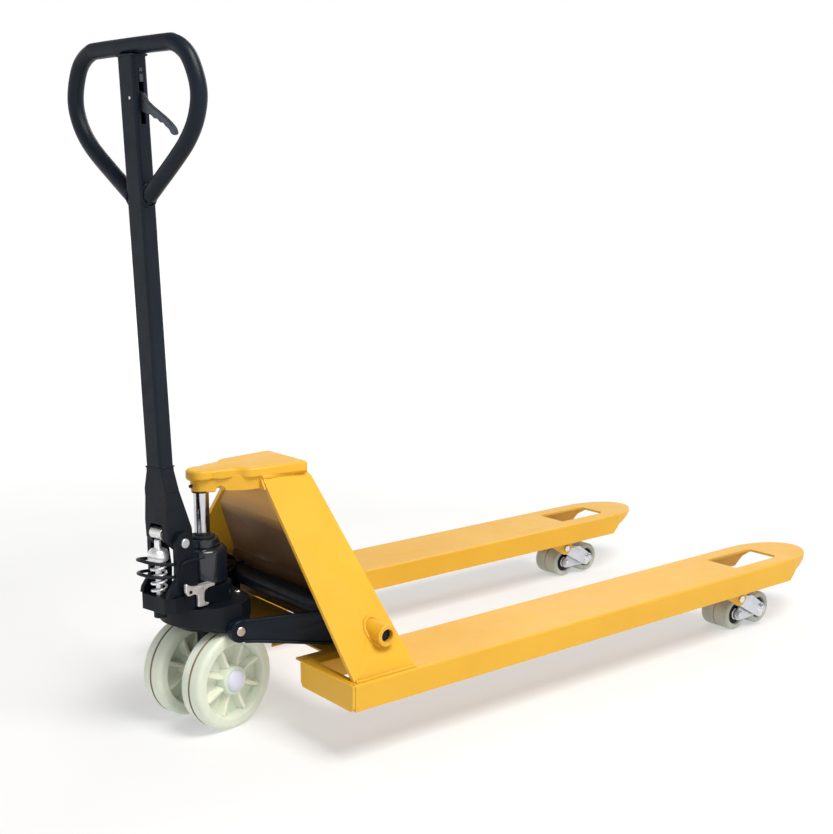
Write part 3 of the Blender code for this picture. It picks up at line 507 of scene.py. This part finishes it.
# ------------------------------------------------------------- steer wheels
R, HW = 0.090, 0.025
AZ = R - G
for side, s in (("right", -1), ("left", 1)):
    sh = [(R - 0.0095 + 0.0095 * math.sin(math.radians(a)), HW - 0.0095 + 0.0095 * math.cos(math.radians(a)))
          for a in range(0, 91, 15)]
    rim = ([(0.0640, 0.0050), (0.0665, 0.0190), (0.0690, 0.0236), (0.0712, HW)] + sh
           + [(R, 0.0024), (R - 0.0014, 0.0012), (R - 0.0014, -0.0012), (R, -0.0024)]
           + [(r, -h) for r, h in sh[::-1]] + [(0.0712, -HW), (0.0690, -0.0236), (0.0665, -0.0190), (0.0640, -0.0050)])
    mids = [0] * len(rim)
    g = 4 + len(sh)
    for k in (g - 0, g + 1, g + 2):
        mids[k] = 1
    hub = [(0.0103, 0.0240), (0.0240, 0.0240), (0.0262, 0.0225), (0.0275, 0.0180), (0.0300, 0.0050),
           (0.0300, -0.0050), (0.0275, -0.0180), (0.0262, -0.0225), (0.0240, -0.0240), (0.0103, -0.0240)]
    webm = [(0.0250, 0.0050), (0.0660, 0.0050), (0.0660, -0.0050), (0.0250, -0.0050)]
    parts = [lathe(rim, 96, 'Y', mids), lathe(hub, 64, 'Y'), lathe(webm, 64, 'Y')]
    ribs = []
    for i in range(8):
        a = math.radians(22.5 + 45 * i)
        for f in (-1, 1):
            out = [(0.0255, f * 0.0040), (0.0255, f * 0.0195), (0.0400, f * 0.0178), (0.0660, f * 0.0200), (0.0668, f * 0.0040)]
            me = bpy.data.meshes.new("rib")
            bm = bmesh.new()
            lo = [bm.verts.new((u, v, -0.0026 - 0.0062 * (1 - abs(v) / 0.02))) for u, v in out]
            hi = [bm.verts.new((u, v, 0.0026 + 0.0062 * (1 - abs(v) / 0.02))) for u, v in out]
            bm.faces.new(lo)
            bm.faces.new(hi)
            for q in range(5):
                bm.faces.new((lo[q], lo[(q + 1) % 5], hi[(q + 1) % 5], hi[q]))
            bmesh.ops.recalc_face_normals(bm, faces=bm.faces)
            bm.to_mesh(me)
            bm.free()
            me.transform(Matrix.Rotation(a, 4, 'Y'))
            ribs.append(me)
    WM = ST @ Matrix.Translation((0, s * 0.0525, AZ))
    piece("steer_wheel_body_" + side, merge(parts), NYL, "steer_wheel_" + side, WM, 28,
          swap=("steer_wheel_" + side,), mats=[NYL, GROOVE_BROWN])
    piece("steer_wheel_ribs_" + side, merge(ribs), NYL_RIB_LIT, "steer_wheel_" + side, WM, 28, 0.0014, 3)
    dome = [(0.0, 0.0318), (0.0060, 0.0316), (0.0120, 0.0306), (0.0170, 0.0286), (0.0196, 0.0262), (0.0203, 0.0242), (0.0203, 0.0230), (0.0, 0.0230)]
    dm = lathe(dome, 64, 'Y')
    ring = lathe([(0.0203, 0.0248), (0.0240, 0.0248), (0.0246, 0.0240), (0.0203, 0.0240)], 64, 'Y')
    if s < 0:
        for me in (dm, ring):
            me.transform(Matrix.Rotation(math.pi, 4, 'Z'))
    piece("hub_cap_dome_" + side, dm, CAPM, "steer_wheel_" + side, WM, 30, swap=("hub_cap_" + side,))
    piece("hub_lip_" + side, ring, NYL, "steer_wheel_" + side, WM, 30)

# ------------------------------------------------------------- load rollers
for side, s in (("right", -1), ("left", 1)):
    yc = s * 0.2638
    for end, x in (("rear", 1.072), ("front", 1.150)):
        RM = CH @ Matrix.Translation((x, yc, -0.109))
        rr = 0.035
        sh = [(rr - 0.005 + 0.005 * math.sin(math.radians(a)), 0.0345 - 0.005 + 0.005 * math.cos(math.radians(a))) for a in range(0, 91, 18)]
        prof = ([(0.0215, 0.0300), (0.0235, 0.0335), (0.0260, 0.0345)] + sh
                + [(rr, 0.0010), (rr - 0.0007, 0.0004), (rr - 0.0007, -0.0004), (rr, -0.0010)]
                + [(r, -h) for r, h in sh[::-1]] + [(0.0260, -0.0345), (0.0235, -0.0335), (0.0215, -0.0300)])
        mids = [0] * len(prof)
        for k in range(3 + len(sh), 6 + len(sh)):
            mids[k] = 1
        name = "%s_%s" % (side, end)
        piece("roller_body_" + name, lathe(prof, 64, 'Y', mids), NYR_SHADED, "load_roller_" + name, RM, 30,
              swap=("load_roller_" + name,), mats=[NYR_SHADED, GROOVE_BROWN])
        seals, races = [], []
        for f in (-1, 1):
            seals.append(lathe([(0.0125, f * 0.0318), (0.0200, f * 0.0318), (0.0215, f * 0.0300), (0.0125, f * 0.0290)], 48, 'Y'))
            races.append(lathe([(0.0062, f * 0.0340), (0.0110, f * 0.0340), (0.0125, f * 0.0328), (0.0125, f * 0.0290), (0.0062, f * 0.0290)], 48, 'Y'))
        piece("roller_seals_" + name, merge(seals), RUB, "load_roller_" + name, RM, 30)
        piece("roller_bearings_" + name, merge(races), STEEL, "load_roller_" + name, RM, 30)
        bolt = [lathe([(0.0, 0.0482), (0.0045, 0.0482), (0.0052, 0.0475), (0.0052, -0.0475), (0.0045, -0.0482), (0.0, -0.0482)], 32, 'Y'),
                hexnut(0.0088, 0.0428, 0.0474), hexnut(0.0088, -0.0474, -0.0428)]
        for f in (-1, 1):
            bolt.append(lathe([(0.0050, f * 0.0430), (0.0108, f * 0.0430), (0.0110, f * 0.0416), (0.0050, f * 0.0416)], 32, 'Y'))
        piece("roller_bolt_hex_" + name, merge(bolt), ZINC, "bogie_" + side, RM, 25, swap=("roller_bolt_" + name,))
    # pivot caps on the wheel bracket
    caps = []
    for cx, cz, rr in ((1.130, -0.111, 0.0078), (1.053, -0.0645, 0.0085)):
        for f in (-1, 1):
            me = lathe([(0.0, f * 0.0575 if cx < 1.1 else f * 0.0562), (rr * 0.7, f * 0.0573 if cx < 1.1 else f * 0.0560), (rr, f * 0.0558 if cx < 1.1 else f * 0.0548), (rr, f * 0.0540), (0.0, f * 0.0540)], 32, 'Y')
            caps.append(shift(me, (cx, yc, cz)))
    piece("bracket_rivets_" + side, merge(caps[:2]), STEEL, "wheel_bracket_" + side, CH, 30)
    lug = []
    for f in (-1, 1):
        lug.append(shift(hexnut(0.0085, f * 0.0600, f * 0.0640) if f > 0 else hexnut(0.0085, -0.0640, -0.0600), (1.053, yc, -0.0645)))
    piece("lug_bolt_heads_" + side, merge(lug), STEEL, "chassis", CH, 25)

# ------------------------------------------------------------------- handle
half = [(0.0210, 0.4568), (0.0300, 0.4640), (0.0960, 0.5165), (0.1270, 0.5450), (0.1475, 0.5740), (0.1580, 0.6060),
        (0.1560, 0.6350), (0.1435, 0.6660), (0.1285, 0.6830), (0.1070, 0.6940), (0.080, 0.6965)]
ctl = [(0, -v, w) for v, w in half] + [(0, v, w) for v, w in half[::-1]]
loop = sweep(spline(ctl, 8), 0.0138, 32)
loop.transform(CH.inverted() @ HA)
piece("handle_loop_bar", loop, BLK, "handle", CH, 60, swap=("handle_loop",))
for s in (-1, 1):
    pts = [(0.0146 * math.cos(a), s * 0.0207, 0.4580 + 0.0185 * math.sin(a)) for a in [2 * math.pi * k / 24 for k in range(24)]]
    weld("loop_weld_%s" % ("right" if s < 0 else "left"), pts, 0.0020, BLK, "handle", HA, True)
rect = [(0.0150, -0.0200), (0.0150, 0.0200), (-0.0150, 0.0200), (-0.0150, -0.0200)]
weld("bar_weld", [(u, v, 0.6825) for u, v in rect], 0.0018, BLK, "handle", HA, True)
weld("tube_weld", [(u * 0.99, v * 0.99, -0.0042) for u, v in rect], 0.0011, BLK, "handle", HA, True)
trig = [(0.006, 0.624), (-0.014, 0.6262), (-0.024, 0.6220), (-0.034, 0.6085), (-0.046, 0.6000), (-0.060, 0.5915), (-0.074, 0.5830),
        (-0.088, 0.5730), (-0.0970, 0.5650), (-0.1005, 0.5590), (-0.1005, 0.5540), (-0.0960, 0.5520), (-0.0900, 0.5550), (-0.0850, 0.5625),
        (-0.0780, 0.5665), (-0.0720, 0.5725), (-0.0650, 0.5735), (-0.0580, 0.5795), (-0.0500, 0.5805), (-0.0430, 0.5865), (-0.0340, 0.5880),
        (-0.0220, 0.5920), (0.004, 0.604)]
piece("trigger_lever", prism(trig, -0.0040, 0.0040, 'YZ'), LEVERM, "trigger", HA, 30, 0.0012, swap=("release_trigger",))
piece("trigger_stop", prism([(-0.0190, 0.640), (-0.0215, 0.640), (-0.0215, 0.652), (-0.0190, 0.652)], -0.0035, 0.0035, 'YZ'), LEVERM, "handle", HA, 30, 0.0005)
piece("trigger_latch", prism([(-0.0190, 0.656), (-0.0212, 0.656), (-0.0212, 0.662), (-0.0190, 0.662)], -0.0030, 0.0030, 'YZ'), LEVERM, "handle", HA, 30, 0.0005)

# yoke: one casting, tapered to the tube, with a rounded pocket for the roller
yside = [(-0.0760, 0.345), (-0.0740, 0.304), (-0.0480, 0.232), (-0.0470, 0.218), (-0.0570, 0.203),
         (-0.0680, 0.1965), (-0.0830, 0.1965), (-0.0940, 0.206), (-0.1045, 0.2190), (-0.1060, 0.250),
         (-0.1035, 0.290), (-0.1058, 0.345)]
yfront = [(-0.0200, 0.345), (-0.0200, 0.338), (-0.0292, 0.305), (-0.0292, 0.19), (0.0292, 0.19), (0.0292, 0.305), (0.0200, 0.338), (0.0200, 0.345)]
yk = cut(prism(yside, -0.0295, 0.0295), prism(yfront, -0.2, 0.0, 'YZ'), 'INTERSECT')
pocket = [(-0.0165, 0.15), (0.0165, 0.15)] + arc(0.0105, 0.2395, 0.006, 0, 90, 4) + arc(-0.0105, 0.2395, 0.006, 90, 180, 4)
yk = cut(yk, prism(pocket, -0.20, -0.060, 'YZ'))
yk = cut(yk, prism([(-0.0100, 0.15), (0.0100, 0.15), (0.0100, 0.235), (-0.0100, 0.235)], -0.070, -0.02, 'YZ'))
piece("yoke_casting", yk, CAST, "handle", ST, 32, 0.0018, 3, swap=("handle_yoke",))
weld("yoke_seam", [(-0.1010, -0.0290, 0.3040), (-0.0765, -0.0290, 0.3040)], 0.0011, CAST, "handle", ST)

# --------------------------------------------------------------------- pump
body = [(0.0146, 0.2006), (0.0262, 0.2006), (0.0280, 0.1996), (0.0287, 0.1975), (0.0287, 0.1905), (0.0300, 0.1870), (0.0340, 0.1852),
        (0.0390, 0.1838), (0.0418, 0.1812), (0.0430, 0.1775), (0.0430, 0.1262), (0.0424, 0.1238), (0.0400, 0.1200), (0.0385, 0.1187), (0.0146, 0.1187)]
piece("pump_cylinder", lathe(body, 96), PUMP, "pump", ST, 40, swap=("pump_body",))
collar = [(0.0300, 0.1912), (0.0318, 0.1906), (0.0322, 0.1885), (0.0312, 0.1866), (0.0300, 0.1862)]
piece("pump_collar", lathe(collar, 64), PUMP, "pump", ST, 60)
wip = [(0.0146, 0.2058), (0.0185, 0.2064), (0.0208, 0.2056), (0.0224, 0.2046), (0.0224, 0.2012), (0.0146, 0.2012)]
piece("rod_wiper", lathe(wip, 64), RUB, "pump", ST, 40, swap=("gland_ring",))
rodp = [(0.0, 0.3090), (0.0140, 0.3088), (0.0140, 0.1700), (0.0125, 0.1680), (0.0, 0.1680)]
piece("chrome_rod", lathe(rodp, 64), CHROME, "chassis", TH, 40, swap=("piston_rod",))
ringp = [(0.0146, 0.2890), (0.0168, 0.2890), (0.0172, 0.2870), (0.0168, 0.2842), (0.0146, 0.2842)]
piece("rod_top_ring", lathe(ringp, 48), RUB, "chassis", TH, 40)

# plunger, spring and guard wires
PX = -0.103
coil = []
turns, h0, h1, rr = 4.5, 0.1206, 0.1776, 0.0128
for i in range(int(turns * 36) + 1):
    a = 2 * math.pi * i / 36
    f = i / (turns * 36)
    e = h0 + (h1 - h0) * f
    coil.append((PX + rr * math.cos(a), rr * math.sin(a), e))
piece("return_spring_coil", sweep(coil, 0.0023, 12), BRIGHT, "pump", ST, 80, swap=("plunger_spring",))
plung = [(0.0, 0.2172), (0.0048, 0.2172), (0.0058, 0.2162), (0.0060, 0.2030), (0.0085, 0.2022), (0.0125, 0.2008), (0.0160, 0.1975), (0.0181, 0.1925),
         (0.0186, 0.1880), (0.0184, 0.1842), (0.0176, 0.1806), (0.0160, 0.1800), (0.0060, 0.1800), (0.0060, 0.1176), (0.0, 0.1176)]
piece("plunger_cap", lathe(plung, 64), BRIGHT, "plunger", ST @ Matrix.Translation((PX, 0, 0)), 40, swap=("pump_plunger",))
for name, z, lift in (("upper", 0.1765, 0.0100), ("lower", 0.1540, 0.0075)):
    c = [(-0.0975, -0.0325, z), (-0.118, -0.030, z + lift * 0.4), (-0.134, -0.018, z + lift * 0.8), (-0.139, 0.0, z + lift),
         (-0.134, 0.018, z + lift * 0.8), (-0.118, 0.030, z + lift * 0.4), (-0.0975, 0.0325, z)]
    piece("spring_guard_" + name, sweep(spline(c, 8), 0.0031, 14), GUARD, "pump", ST, 60, swap=("guard_wire_" + name,))

# release lever: a bar with a hooked claw
lev = [(-0.0880, 0.1400), (-0.0850, 0.1420), (-0.0780, 0.1368), (-0.064, 0.1330), (-0.050, 0.1316), (-0.021, 0.1300), (-0.021, 0.1252),
       (-0.036, 0.1245), (-0.0435, 0.1215), (-0.0462, 0.1160), (-0.0462, 0.1040), (-0.0440, 0.0995), (-0.0360, 0.0975), (-0.0355, 0.0952),
       (-0.0420, 0.0934), (-0.0560, 0.0938), (-0.0605, 0.0950), (-0.0600, 0.1060), (-0.0605, 0.1150), (-0.0660, 0.1195), (-0.0820, 0.1190), (-0.0880, 0.1270)]
piece("release_claw", prism(lev, -0.0535, -0.0475), BRIGHT, "release_lever", ST, 30, 0.0012, swap=("release_lever",))
piece("release_tab", prism([(-0.078, -0.0478), (-0.021, -0.0478), (-0.021, -0.0340), (-0.060, -0.0340)], 0.1268, 0.1296, 'XY'), BRIGHT, "release_lever", ST, 30, 0.0008)

# gussets that widen the pump's ears towards the plunger, and a link wire
for side, s in (("right", -1), ("left", 1)):
    y0, y1 = sorted((s * 0.0302, s * 0.0392))
    piece("ear_gusset_" + side, prism([(-0.0600, 0.1180), (-0.1160, 0.1180), (-0.1130, 0.1290), (-0.0960, 0.1490), (-0.0945, 0.1900), (-0.0600, 0.1900)], y0, y1),
          CAST, "pump", ST, 32, 0.0014, 2)
piece("link_wire", sweep(spline([(-0.0860, -0.0405, 0.166), (-0.0840, -0.0425, 0.176), (-0.0700, -0.0440, 0.180), (-0.0450, -0.0440, 0.178), (-0.0320, -0.0400, 0.176)], 6), 0.0014, 10),
      GUARD, "pump", ST, 60)

# thrust plate: round plate over a smooth tapered skirt
disc = prism(arc(0, 0, 0.0825, 90, 270, 40) + [(0.030, -0.0825), (0.062, -0.058), (0.072, -0.030), (0.072, 0.030), (0.062, 0.058), (0.030, 0.0825)],
             0.0560, 0.0895, 'XY')
hull = bpy.data.meshes.new("skirt")
bm = bmesh.new()
for r, z in ((0.0815, 0.0570), (0.0520, 0.0388)):
    for i in range(64):
        a = 2 * math.pi * i / 64
        bm.verts.new((r * math.cos(a), r * math.sin(a), z))
for sx in (-1, 1):
    for sy in (-1, 1):
        bm.verts.new((0.0165 + sx * 0.016, sy * 0.0800, 0.0400))
        bm.verts.new((0.0165 + sx * 0.030, sy * 0.0800, 0.0570))
geo = bmesh.ops.convex_hull(bm, input=bm.verts)
bmesh.ops.delete(bm, geom=list(set(geo["geom_interior"] + geo["geom_unused"])), context='VERTS')
bmesh.ops.dissolve_limit(bm, angle_limit=0.02, verts=bm.verts, edges=bm.edges)
bmesh.ops.recalc_face_normals(bm, faces=bm.faces)
bm.to_mesh(hull)
bm.free()
tp = cut(disc, hull, 'UNION')
tp = cut(tp, prism(arc(0, 0, 0.0163, 0, 350, 35), 0.02, 0.12, 'XY'))
piece("thrust_casting", tp, CAST, "thrust", TH, 40, 0.0024, 3, swap=("thrust_plate",))

# bridge: plate with generous rounds, web and boss in one casting
plan = (arc(0.0965, -0.0600, 0.0090, -84, 0, 6) + arc(0.0965, 0.0600, 0.0090, 0, 84, 6)
        + [(-0.008, 0.0560), (-0.016, 0.053), (-0.022, 0.047), (-0.028, 0.040), (-0.037, 0.0358), (-0.060, 0.0325)]
        + arc(KX, 0.0, 0.0265, 70, 290, 18)
        + [(-0.060, -0.0325), (-0.037, -0.0358), (-0.028, -0.040), (-0.022, -0.047), (-0.016, -0.053), (-0.008, -0.0560)])
web = [(KX, -0.0178), (-0.045, -0.030), (-0.022, -0.046), (0.0110, -0.053), (0.0110, 0.053), (-0.022, 0.046), (-0.045, 0.030), (KX, 0.0178)]
top = piece("bridge_top", prism(plan, 0.3070, 0.3268, 'XY'), YEL, "chassis", CH, 40, 0.0058, 5, swap=("bridge_casting",))
top.modifiers["bevel"].use_clamp_overlap = False
top.modifiers["bevel"].angle_limit = math.radians(62)
wb = cut(prism(web, 0.2850, 0.3150, 'XY'), prism([(-0.0660, 0.280), (-0.0640, 0.291), (-0.0580, 0.2950), (-0.0510, 0.2920), (-0.0470, 0.2845), (-0.0460, 0.280)], -0.07, 0.07))
piece("bridge_web", wb, YEL, "chassis", CH, 40, 0.0022, 3)
boss = lathe([(0.0, 0.3120), (0.0200, 0.3120), (0.0186, 0.3020), (0.0182, 0.2890), (0.0168, 0.2868), (0.0143, 0.2866), (0.0143, 0.2900), (0.0, 0.2900)], 64)
piece("bridge_boss", shift(boss, (KX, 0, 0)), YEL, "chassis", CH, 30)
for side, s in (("right", -1), ("left", 1)):
    piece("bridge_gusset_" + side, prism([(s * 0.0480, 0.2853), (s * 0.0690, 0.2853), (s * 0.0540, 0.3075), (s * 0.0480, 0.3075)], 0.0085, 0.0170, 'YZ'),
          YEL, "chassis", CH, 32, 0.0012)

# -------------------------------------------------------------- A-frame detail
k = 0.9
for side, s in (("right", -1), ("left", 1)):
    # bead along the top of the side plate
    pts = [(x, s * (0.332 - k * 0.3075) + s * 0.0, 0.3070) for x in (0.010, 0.030, 0.060, 0.090, 0.106)]
    weld("bridge_weld_" + side, pts, 0.0048, YEL, "chassis")
    pts = [(x, s * 0.3335, 0.0012) for x in (0.014, 0.050, 0.100, 0.141)]
    weld("fork_weld_" + side, pts, 0.0028, YEL, "chassis")
    ring = []
    for i in range(36):
        a = 2 * math.pi * i / 36
        x, z = 0.097 + 0.0205 * math.cos(a), 0.059 + 0.0205 * math.sin(a)
        ring.append((x, s * (0.332 - k * z), z))
    weld("boss_weld_" + side, ring, 0.0032, YEL, "chassis", CH, True)
    # end of the rocker's journal, seen down the boss
    plug = lathe([(0.0, s * 0.3060), (0.0045, s * 0.3060), (0.0055, s * 0.3050), (0.0104, s * 0.3045), (0.0108, s * 0.3035), (0.0108, s * 0.2920), (0.0, s * 0.2920)], 40, 'Y')
    piece("journal_end_" + side, shift(plug, (0.097, 0, 0.059)), BLK, "rocker", CH, 30)
    # arm flanges
    ex, ey, fx, fy = -0.0665, 0.091, 0.097, 0.185
    L = math.hypot(fx - ex, fy - ey)
    ang = math.atan2(s * (fy - ey), fx - ex)
    AM = CH @ Matrix.Translation((ex, s * ey, 0.0445)) @ Matrix.Rotation(ang, 4, 'Z')
    edge_t = [(0.010, 0.0198), (0.030, 0.0205), (L - 0.030, 0.0300), (L - 0.012, 0.0320)]
    edge_b = [(0.010, -0.0186), (0.030, -0.0190), (L - 0.030, -0.0298), (L - 0.012, -0.0270)]
    for nm, ed in (("top", edge_t), ("bottom", edge_b)):
        off = s * -0.0 + (1 if s > 0 else -1) * 0.0065
        piece("arm_flange_%s_%s" % (nm, side), sweep([(u, off, v) for u, v in ed], 0.0030, 12), BLK, "rocker", AM, 60)
    eye = lathe([(0.0110, 0.0030), (0.0195, 0.0030), (0.0205, 0.0020), (0.0205, 0.0), (0.0110, 0.0)], 48, 'Y')
    if s < 0:
        eye.transform(Matrix.Rotation(math.pi, 4, 'Z'))
    piece("eye_rim_" + side, shift(eye, (ex, s * 0.0970, 0.0445)), BLK, "rocker", CH, 30)
    pts = [(0.097 + 0.0215 * math.cos(math.radians(a)), s * 0.1790, 0.059 + 0.0215 * math.sin(math.radians(a))) for a in range(60, 301, 20)]
    weld("arm_weld_" + side, pts, 0.0030, BLK, "rocker")

# ------------------------------------------------------- stage, light, camera
fl = bpy.data.meshes.new("floor")
bm = bmesh.new()
bmesh.ops.create_grid(bm, x_segments=1, y_segments=1, size=30)
bm.to_mesh(fl)
bm.free()
floor = bpy.data.objects.new("floor", fl)
bpy.context.scene.collection.objects.link(floor)
fm = Mat("floor_white")
fm.set(Base_Color=fm.mix(fm.noise(3, 3), (0.50, 0.50, 0.50), (0.48, 0.48, 0.48)), Roughness=0.85, Specular_IOR_Level=0.1)
ln = fm.n("ShaderNodeVectorMath", operation='LENGTH')
fm.link(fm.co, ln.inputs[0])
fm.set(Emission_Color=(1.0, 1.0, 1.0), Emission_Strength=fm.ramp(ln.outputs["Value"], 1.2, 5.0, 0.42, 0.98))
fl.materials.append(fm.m)

w = bpy.data.worlds.new("studio")
bpy.context.scene.world = w
w.use_nodes = True
wt = w.node_tree
bg = wt.nodes["Background"]
tc = wt.nodes.new("ShaderNodeTexCoord")
sx = wt.nodes.new("ShaderNodeSeparateXYZ")
wt.links.new(tc.outputs["Generated"], sx.inputs[0])
mr = wt.nodes.new("ShaderNodeMapRange")
for key, val in (("From Min", 0.28), ("From Max", 0.60), ("To Min", 1.0), ("To Max", 0.30)):
    mr.inputs[key].default_value = val
wt.links.new(sx.outputs["Z"], mr.inputs["Value"])
wt.links.new(mr.outputs["Result"], bg.inputs[1])
bg.inputs[0].default_value = (1.0, 1.0, 1.0, 1)


def area(name, loc, aim, size, power, col=(1, 1, 1)):
    li = bpy.data.lights.new(name, 'AREA')
    li.shape = 'RECTANGLE'
    li.size, li.size_y = size
    li.energy = power
    li.color = col
    ob = bpy.data.objects.new(name, li)
    bpy.context.scene.collection.objects.link(ob)
    ob.location = loc
    ob.rotation_euler = (Vector(aim) - Vector(loc)).to_track_quat('-Z', 'Y').to_euler()
    return ob


area("key", (-0.2, -2.0, 3.6), (0, 0, 0.3), (1.8, 1.8), 150, (1, 0.985, 0.95))
area("back", (2.4, 1.6, 2.6), (0, 0, 0.2), (1.6, 1.6), 30)

cam = bpy.data.cameras.new("camera")
cob = bpy.data.objects.new("camera", cam)
bpy.context.scene.collection.objects.link(cob)
az, el, roll = -0.648, 0.1759, -0.0101
back = Vector((math.sin(az) * math.cos(el), -math.cos(az) * math.cos(el), math.sin(el)))
fwd = -back
right = fwd.cross(Vector((0, 0, 1))).normalized()
up = right.cross(fwd)
c, s = math.cos(roll), math.sin(roll)
r2, u2 = c * right + s * up, -s * right + c * up
pos = Vector((1.5343, 1.5942, 0)) + back * 4.5673 + Vector((SX, 0, G))
m = Matrix((r2, u2, back)).transposed().to_4x4()
m.translation = pos
cob.matrix_world = m
cam.sensor_fit = 'VERTICAL'
cam.sensor_height = 36
cam.lens = 1284.4 * 36 / 834
cam.shift_x = (416.5 - 382.6) / 834
cam.shift_y = (426.6 - 417.0) / 834
cam.dof.use_dof = False
bpy.context.scene.camera = cob
bpy.context.scene.view_settings.view_transform = 'Standard'

def flat(b):
    return [[float(v) for v in p] for p in b]
